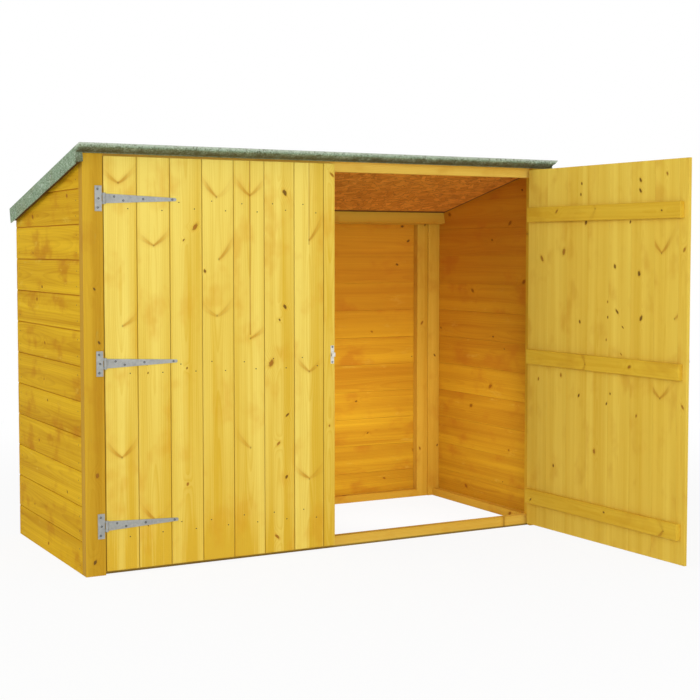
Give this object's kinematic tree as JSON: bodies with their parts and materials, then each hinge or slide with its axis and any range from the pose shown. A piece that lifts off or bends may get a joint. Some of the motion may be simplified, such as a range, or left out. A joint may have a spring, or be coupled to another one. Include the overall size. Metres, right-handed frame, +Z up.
{
  "type": "timber bike store with a pent roof",
  "caption": "Low timber bike store with shiplap walls, a felted pent roof that falls to the back, and a pair of side-hung boarded doors on strap hinges.",
  "frame": {"origin": "underside of the front sill, at mid-width and mid-depth of the sill, on the ground", "axes": "+Z up, +X along the front towards the right door as seen by someone facing the doors, +Y from the doors to the back wall"},
  "size_m": [1.83, 1.6086, 1.3671],
  "materials": {
    "frame_timber": "planed softwood, honey preservative",
    "wall_boards": "shiplap softwood boards, honey preservative",
    "door_boards": "tongue and groove softwood boards, honey preservative",
    "door_ledges": "planed softwood, honey preservative",
    "roof_board": "pressed strand board",
    "felt": "mineral roofing felt, green",
    "zinc": "galvanised steel"
  },
  "bodies": {
    "shelter": {"left_front_post": "frame_timber", "right_front_post": "frame_timber", "front_top_rail": "frame_timber", "front_sill": "frame_timber", "left_side_boards": "wall_boards", "right_side_boards": "wall_boards", "back_boards": "wall_boards", "left_back_post": "frame_timber", "right_back_post": "frame_timber", "left_bottom_rail": "frame_timber", "right_bottom_rail": "frame_timber", "back_left_batten": "frame_timber", "back_right_batten": "frame_timber", "back_top_rail": "frame_timber", "back_bottom_rail": "frame_timber", "roof_deck": "roof_board", "roof_felt": "felt", "roof_nosing": "frame_timber", "roof_back_batten": "frame_timber", "left_roof_bearer": "frame_timber", "right_roof_bearer": "frame_timber", "left_bottom_plate": "zinc", "left_middle_plate": "zinc", "left_top_plate": "zinc", "right_bottom_plate": "zinc", "right_middle_plate": "zinc", "right_top_plate": "zinc"},
    "left_door": {"left_door_boards": "door_boards", "left_door_bottom_ledge": "door_ledges", "left_door_middle_ledge": "door_ledges", "left_door_top_ledge": "door_ledges", "left_bottom_strap": "zinc", "left_middle_strap": "zinc", "left_top_strap": "zinc", "left_door_keep": "zinc"},
    "right_door": {"right_door_boards": "door_boards", "right_door_bottom_ledge": "door_ledges", "right_door_middle_ledge": "door_ledges", "right_door_top_ledge": "door_ledges", "right_bottom_strap": "zinc", "right_middle_strap": "zinc", "right_top_strap": "zinc", "right_door_bolt": "zinc"}
  },
  "joints": [
    {"name": "left_door_hinge", "type": "hinge", "parent": "shelter", "child": "left_door", "pos_m": [-0.8245, -0.0365, 0.667], "axis": [0, 0, -1], "range_deg": [0, 170]},
    {"name": "right_door_hinge", "type": "hinge", "parent": "shelter", "child": "right_door", "pos_m": [0.8245, -0.0365, 0.667], "axis": [0, 0, 1], "range_deg": [-92, 78]}
  ]
}
